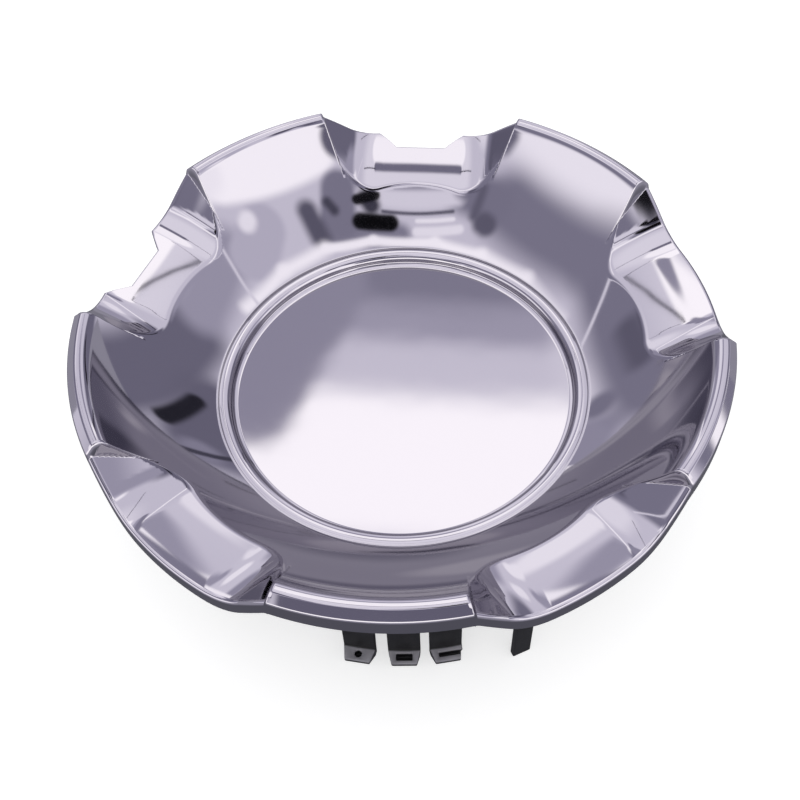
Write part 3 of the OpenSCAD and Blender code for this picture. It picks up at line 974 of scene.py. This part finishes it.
# The studio as the plating mirrors it. Each card is a bar with soft ends: from u, v to u, v, its half width,
# how far its edge fades, and its grey from 0 to 255. u and v are degrees away from straight up, towards +X
# and +Y. Later cards lie over earlier ones.
ROOM_GREY = 192
CARDS = (
    # Ceiling and back wall
    (0, 8, 0, 12, 26, 14, 212), (-24, 62, -6, 66, 14, 10, 196), (-10, 85, 5, 85, 9, 8, 150),
    (-46, 62, -36, 78, 8, 8, 140), (22, 68, 34, 72, 9, 10, 112), (-30, 48, -42, 40, 10, 10, 215),
    # Grey wall on the left
    (-68, 0, -68, 58, 16, 9, 118), (-63, 30, -63, 44, 4, 6, 92),
    # Grey wall on the right
    (54, 34, 56, 80, 11, 9, 104), (41, 52, 36, 70, 8, 8, 100), (54, -2, 54, 22, 8, 8, 150),
    (43, 56, 44, 71, 2.5, 2, 35), (33, 75, 34, 75, 4, 4, 128), (-51, 51, -50, 52, 4, 4, 117),
    (80, 15, 80, 50, 9, 9, 120),
    # Left of the camera
    (-58, -6, -38, -30, 12, 12, 120), (-30, -34, -20, -40, 7, 6, 118), (-82, -10, -44, -60, 12, 14, 228),
    (-39, -52, -36, -50, 3, 4, 105), (-12, -46, 16, -46, 6, 4, 118),
    # Right of the camera
    (46, -16, 46, -6, 8, 3, 175), (38, -50, 66, -26, 12, 4, 240), (68, -20, 72, 0, 6, 6, 232),
    (2, -26, 26, -24, 4, 4, 125), (22, -27, 24, -38, 6, 3, 120),
    # Lamp and flags over the camera
    (-18, -27.5, -4, -27.5, 1.5, 1.5, 220), (-18, -38, 14, -38, 3, 3, 205), (12, -35, 14, -37, 3, 3, 60),
    (5, -30, 15, -29.5, 2.8, 1.6, 10), (-16, -31, -4, -31, 0.7, 1, 225), (-16, -33.5, 8, -33.5, 0.6, 1, 80),
    (-23, -31, -27, -39, 1.5, 3, 95), (24, -31, 27, -33, 1.6, 2.5, 70), (11, -38.5, 17, -36, 1.8, 1.2, 15),
    (33, -28, 27, -21, 3.5, 4, 88), (-27, -27, -26, -28, 3.5, 3, 92), (-21, -39, -20, -40, 3, 4, 115),
    (51, -15, 51, -16, 3, 3, 222),
    # Bright edge of the ceiling
    (-46, 12, -38, -6, 2, 4, 225), (-38, -6, -25, -18, 2, 4, 235), (-25, -18, -10, -24, 1.6, 3, 238),
    (-10, -24, 10, -24, 1.5, 2, 235), (10, -24, 25, -18, 1.5, 2, 235), (25, -18, 36, -6, 2, 4, 235),
    (36, -6, 43, 12, 2, 4, 235),
    # Flag and windows behind the cap
    (-5, 47, -5, 52, 3.5, 4, 150), (-14, 61, -12, 65, 4.5, 3, 226), (3, 63, 5, 67, 3.6, 3, 222),
    (-5, 43.5, -62, 90, 0.8, 0.8, 235), (-3, 43.5, 17, 60, 0.8, 0.8, 235), (17, 60, 38, 81, 0.9, 0.8, 60),
    # What the dish mirrors
    (-11, 42.5, 3, 42.5, 2.2, 1.5, 125), (-11, 40, 3, 40, 1.2, 1.5, 155),
    (-11, 37.5, 3, 37.5, 1.5, 1.8, 195), (-12, 32.5, 4, 32.5, 3.8, 2, 247),
    (-9.3, 42, -12.7, 35.5, 2.6, 1.2, 138),
    # Seams of the ceiling
    (-8, 20, 5, 20, 7, 3, 240), (-8, 11, 5, 11, 2.2, 2, 110), (-50, 26, -66, 3, 0.5, 0.8, 205),
    (30, 17, 58, -4, 0.5, 0.8, 205), (-40, 31, -14, 31, 0.2, 0.3, 60), (6, 30, 34, 28, 0.2, 0.3, 60),
    (-28, 13, -8, 10, 0.3, 0.3, 60), (5, 10, 26, 12, 0.3, 0.3, 60),
    # Low strips in front and on the right
    (-26, -54, 26, -54, 7, 3, 98), (-70, -75, 70, -75, 13, 2, 250), (77, 44, 84, 8, 1.5, 1.5, 240),
)


def card_colour(grey, chrome):
    """Light of a card that the chrome shows at this grey, faintly purple where it is dark"""
    part = grey / 255
    shown = [grey * (0.93 + 0.08 * part), grey * (0.885 + 0.1 * part), grey * (1.18 - 0.17 * part)]
    return opaque([linear(min(value / 255, 1)) / tint for value, tint in zip(shown, chrome)])


def linear(value):
    """A display value from 0 to 1 as linear light"""
    return value / 12.92 if value < 0.04045 else ((value + 0.055) / 1.055) ** 2.4


def light_studio(scene):
    """Even white light, and a room of grey cards that shows only in reflections"""
    world = bpy.data.worlds.new("studio")
    scene.world = world
    s = Shader(world)
    ray = s.node("ShaderNodeLightPath")
    at = s.node("ShaderNodeTexCoord")["Generated"]
    xyz = s.node("ShaderNodeSeparateXYZ", Vector=at)
    flat = s.node("ShaderNodeCombineXYZ", X=xyz["X"], Y=xyz["Y"])["Vector"]
    outward = s.vector("NORMALIZE", flat)
    uv = s.vector("SCALE", outward, Scale=s.maths("ARCCOSINE", xyz["Z"]) * math.degrees(1))
    chrome = scene.cap_finish.chrome
    tone = card_colour(ROOM_GREY, chrome)
    for u0, v0, u1, v1, half, fade, grey in CARDS:
        along = Vector((u1 - u0, v1 - v0, 0))
        start = s.vector("SUBTRACT", uv, (u0, v0, 0))
        part = s.vector("DOT_PRODUCT", start, along / max(along.length_squared, 0.01))
        part = s.maths("MAXIMUM", s.maths("MINIMUM", part, 1.0), 0.0)
        away = s.vector("LENGTH", s.vector("SUBTRACT", start, s.vector("SCALE", tuple(along), Scale=part)))
        tone = s.blend(s.step(away, half - fade / 2, half + fade / 2), card_colour(grey, chrome), tone)
    again = s.maths("GREATER_THAN", ray["Glossy Depth"], 1.5)
    strength = 1 - again * SECOND_MIRROR_LOSS
    reflected = s.node("ShaderNodeBackground", Color=tone, Strength=strength)["Background"]
    plain = s.node("ShaderNodeBackground", Color=(1, 1, 1, 1), Strength=1.0)["Background"]
    surface = s.join("ShaderNodeMixShader", ray["Is Glossy Ray"], plain, reflected)
    s.node("ShaderNodeOutputWorld", Surface=surface)


class CAP_PT_panel(bpy.types.Panel):
    """Lists the steps that build the cap"""
    bl_label = "Centre Cap"
    bl_space_type = "VIEW_3D"
    bl_region_type = "UI"
    bl_category = "Centre Cap"

    def draw(self, context):
        for operator in OPERATORS:
            self.layout.operator(operator.bl_idname)
        for name, group in GROUPS.items():
            box = self.layout.box()
            box.label(text=group.__doc__)
            for key in group.__annotations__:
                box.prop(getattr(context.scene, name), key)


OPERATORS = (CAP_OT_cover, CAP_OT_clip_ring, CAP_OT_stage)


def register():
    for cls in (*GROUPS.values(), *OPERATORS, CAP_PT_panel):
        bpy.utils.register_class(cls)
    for name, group in GROUPS.items():
        setattr(bpy.types.Scene, name, PointerProperty(type=group))


def unregister():
    for name in GROUPS:
        delattr(bpy.types.Scene, name)
    for cls in (CAP_PT_panel, *reversed(OPERATORS), *reversed(list(GROUPS.values()))):
        bpy.utils.unregister_class(cls)


def main():
    register()
    bpy.ops.cap.cover()
    bpy.ops.cap.clip_ring()
    bpy.ops.cap.stage()


if __name__ == "__main__":
    main()
